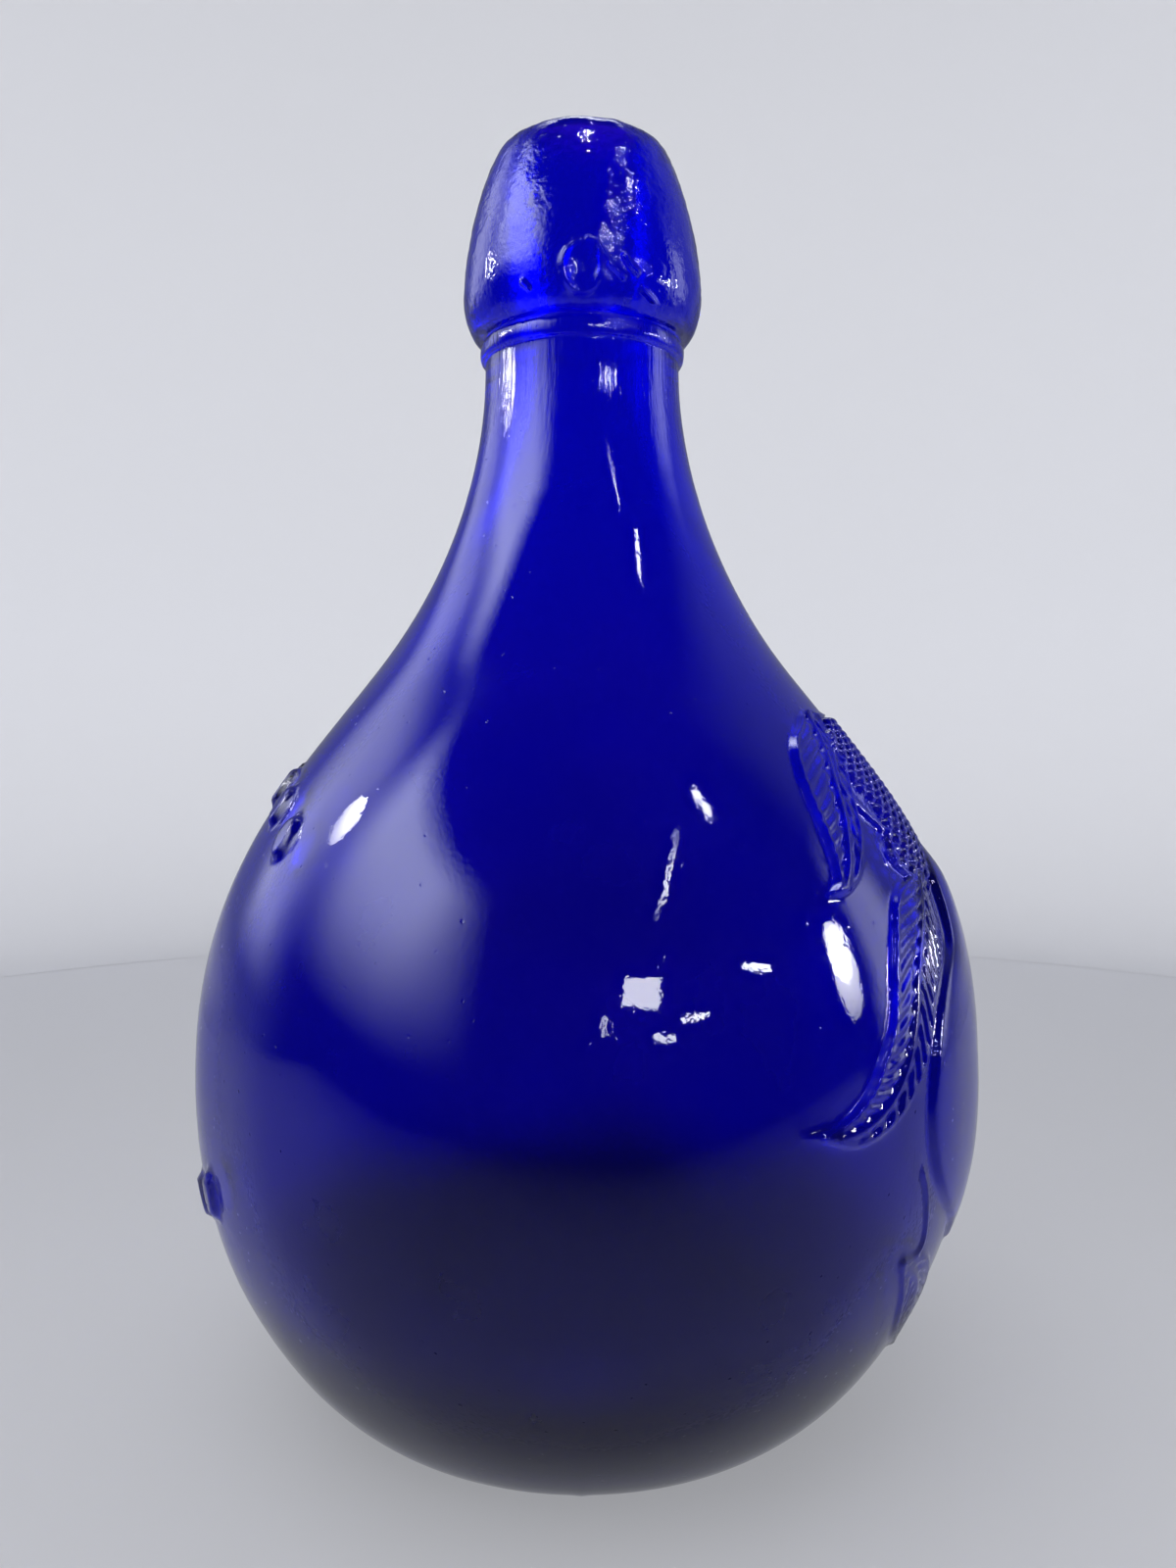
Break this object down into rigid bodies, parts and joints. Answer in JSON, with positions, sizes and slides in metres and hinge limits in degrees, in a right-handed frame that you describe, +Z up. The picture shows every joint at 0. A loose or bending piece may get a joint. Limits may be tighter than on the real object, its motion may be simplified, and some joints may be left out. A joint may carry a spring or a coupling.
{
  "type": "glass juice bottle",
  "caption": "Round-bellied cobalt-blue glass juice bottle with a long neck, tapered collar and moulded fruit and leaves, open at the mouth.",
  "frame": {"origin": "middle of the base, on the surface that the bottle stands on", "axes": "+Z up along the bottle's axis to the mouth, +X towards the side with the moulded fruit, +Y away from someone who has the fruit side on their right; the bail dimples face +Y and -Y"},
  "size_m": [0.1257, 0.125, 0.2],
  "materials": {
    "body_glass": "glossy mould-blown cobalt-blue glass",
    "collar_glass": "glossy tooled cobalt-blue glass, slightly hammered"
  },
  "bodies": {
    "root": {"bottle_body": "body_glass", "lip_collar": "collar_glass"}
  },
  "joints": []
}
